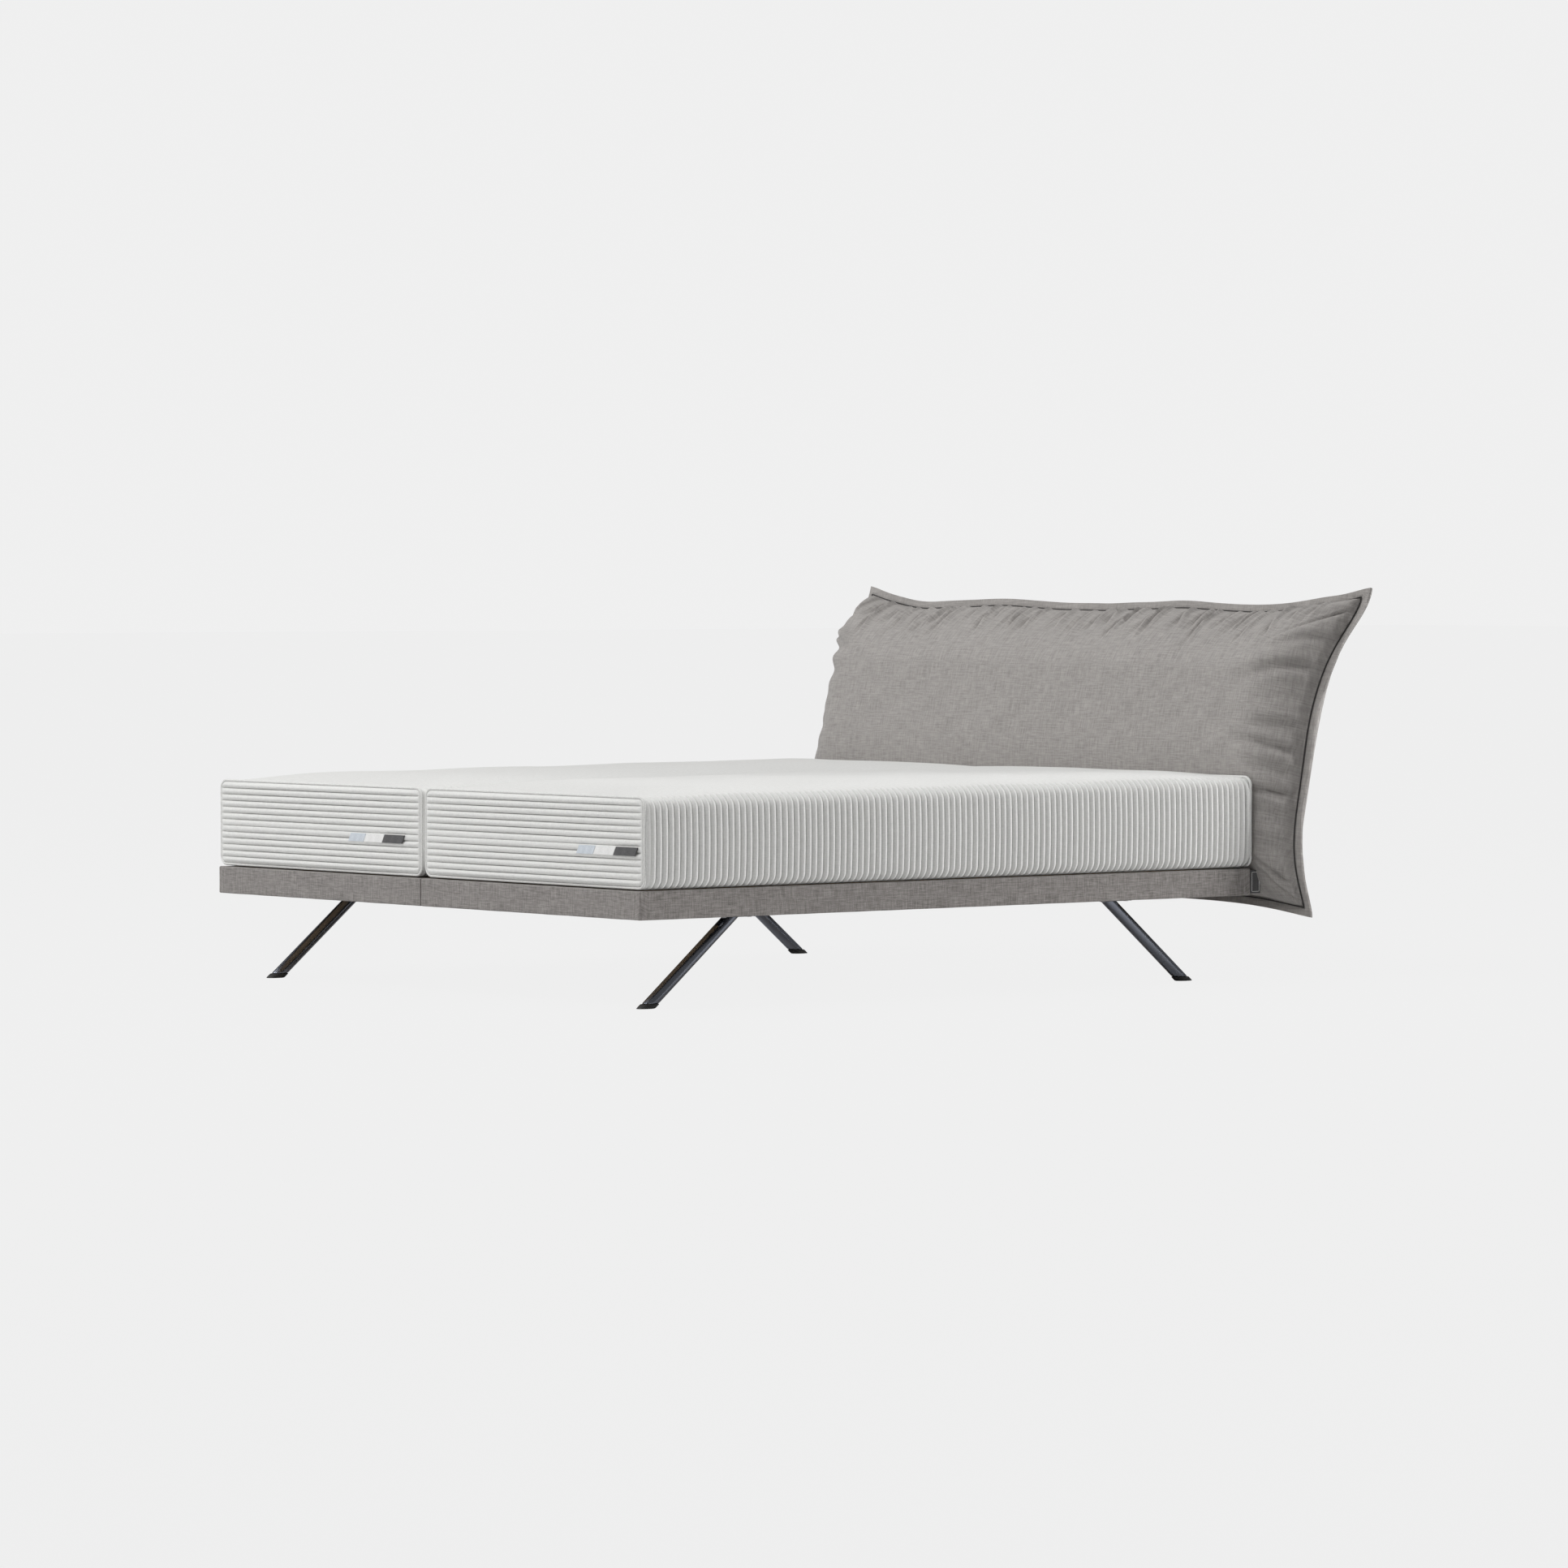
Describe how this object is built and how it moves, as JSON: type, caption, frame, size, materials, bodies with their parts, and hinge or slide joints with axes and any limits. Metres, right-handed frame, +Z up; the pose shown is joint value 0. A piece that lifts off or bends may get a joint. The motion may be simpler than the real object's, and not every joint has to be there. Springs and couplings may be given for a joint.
{
  "type": "adjustable bed base",
  "caption": "Wide adjustable bed with tilting back, thigh and calf sections in each half, slanted tube legs, channelled mattresses and a cushion headboard.",
  "frame": {"origin": "on the floor, under the centre of the whole bed", "axes": "+X to the right seen from the foot end, +Y to the head end, +Z up"},
  "size_m": [2.044, 2.328, 1.019],
  "materials": {
    "base_fabric": "matte",
    "headboard_fabric": "matte",
    "mattress_ticking": "matte",
    "frame_steel": "satin",
    "dark_chrome": "polished",
    "pin_steel": "satin",
    "deck_wood": "satin",
    "motor_plastic": "satin",
    "glide_plastic": "satin",
    "tag_fabric": "matte"
  },
  "bodies": {
    "base": {"left_foot_rail": "base_fabric", "left_head_rail": "base_fabric", "left_side_rail": "base_fabric", "left_inner_rail": "base_fabric", "left_outer_chassis_tube": "frame_steel", "left_inner_chassis_tube": "frame_steel", "left_control_box": "motor_plastic", "left_deck_seat": "deck_wood", "left_mattress_seat": "mattress_ticking", "left_back_pin": "pin_steel", "left_hip_pin": "pin_steel", "left_back_motor": "motor_plastic", "left_thigh_motor": "motor_plastic", "right_foot_rail": "base_fabric", "right_head_rail": "base_fabric", "right_side_rail": "base_fabric", "right_inner_rail": "base_fabric", "right_outer_chassis_tube": "frame_steel", "right_inner_chassis_tube": "frame_steel", "right_control_box": "motor_plastic", "right_deck_seat": "deck_wood", "right_mattress_seat": "mattress_ticking", "right_back_pin": "pin_steel", "right_hip_pin": "pin_steel", "right_back_motor": "motor_plastic", "right_thigh_motor": "motor_plastic", "front_cross_beam": "frame_steel", "rear_cross_beam": "frame_steel", "headboard_board": "headboard_fabric", "headboard_cushion": "headboard_fabric", "headboard_bracket_left": "frame_steel", "headboard_bracket_right": "frame_steel", "side_tag": "tag_fabric", "front_left_leg": "dark_chrome", "front_left_glide": "glide_plastic", "front_right_leg": "dark_chrome", "front_right_glide": "glide_plastic", "rear_left_leg": "dark_chrome", "rear_left_glide": "glide_plastic", "rear_right_leg": "dark_chrome", "rear_right_glide": "glide_plastic"},
    "left_back": {"left_deck_back": "deck_wood", "left_mattress_back": "mattress_ticking"},
    "left_thigh": {"left_deck_thigh": "deck_wood", "left_mattress_thigh": "mattress_ticking", "left_knee_pin": "pin_steel"},
    "left_calf": {"left_deck_calf": "deck_wood", "left_mattress_calf": "mattress_ticking"},
    "left_back_rod": {"left_back_motor_rod": "pin_steel"},
    "left_thigh_rod": {"left_thigh_motor_rod": "pin_steel"},
    "right_back": {"right_deck_back": "deck_wood", "right_mattress_back": "mattress_ticking"},
    "right_thigh": {"right_deck_thigh": "deck_wood", "right_mattress_thigh": "mattress_ticking", "right_knee_pin": "pin_steel"},
    "right_calf": {"right_deck_calf": "deck_wood", "right_mattress_calf": "mattress_ticking"},
    "right_back_rod": {"right_back_motor_rod": "pin_steel"},
    "right_thigh_rod": {"right_thigh_motor_rod": "pin_steel"}
  },
  "joints": [
    {"name": "left_back_tilt", "type": "hinge", "parent": "base", "child": "left_back", "pos_m": [0, 0.01802, 0.2825], "axis": [1, 0, 0], "range_deg": [0, 60], "deforming": ["left_mattress_seat"]},
    {"name": "left_thigh_tilt", "type": "hinge", "parent": "base", "child": "left_thigh", "pos_m": [0, -0.26598, 0.2825], "axis": [-1, 0, 0], "range_deg": [0, 40], "deforming": ["left_mattress_seat"]},
    {"name": "left_calf_tilt", "type": "hinge", "parent": "left_thigh", "child": "left_calf", "pos_m": [0, -0.60998, 0.2825], "axis": [-1, 0, 0], "range_deg": [-63.7, 0]},
    {"name": "left_back_rod_slide", "type": "slide", "parent": "base", "child": "left_back_rod", "axis": [0, 1, 0], "range_m": [0, 0.055]},
    {"name": "left_thigh_rod_slide", "type": "slide", "parent": "base", "child": "left_thigh_rod", "axis": [0, -1, 0], "range_m": [0, 0.035]},
    {"name": "right_back_tilt", "type": "hinge", "parent": "base", "child": "right_back", "pos_m": [0, 0.01802, 0.2825], "axis": [1, 0, 0], "range_deg": [0, 60], "deforming": ["right_mattress_seat"]},
    {"name": "right_thigh_tilt", "type": "hinge", "parent": "base", "child": "right_thigh", "pos_m": [0, -0.26598, 0.2825], "axis": [-1, 0, 0], "range_deg": [0, 40], "deforming": ["right_mattress_seat"]},
    {"name": "right_calf_tilt", "type": "hinge", "parent": "right_thigh", "child": "right_calf", "pos_m": [0, -0.60998, 0.2825], "axis": [-1, 0, 0], "range_deg": [-63.7, 0]},
    {"name": "right_back_rod_slide", "type": "slide", "parent": "base", "child": "right_back_rod", "axis": [0, 1, 0], "range_m": [0, 0.055]},
    {"name": "right_thigh_rod_slide", "type": "slide", "parent": "base", "child": "right_thigh_rod", "axis": [0, -1, 0], "range_m": [0, 0.035]}
  ],
  "couplings": [
    {"joint": "left_calf_tilt", "follows": "left_thigh_tilt", "ratio": -1.59},
    {"joint": "left_back_rod_slide", "follows": "left_back_tilt", "m_per_rad": 0.052376},
    {"joint": "left_thigh_rod_slide", "follows": "left_thigh_tilt", "m_per_rad": 0.049528},
    {"joint": "right_calf_tilt", "follows": "right_thigh_tilt", "ratio": -1.59},
    {"joint": "right_back_rod_slide", "follows": "right_back_tilt", "m_per_rad": 0.052376},
    {"joint": "right_thigh_rod_slide", "follows": "right_thigh_tilt", "m_per_rad": 0.049528}
  ]
}
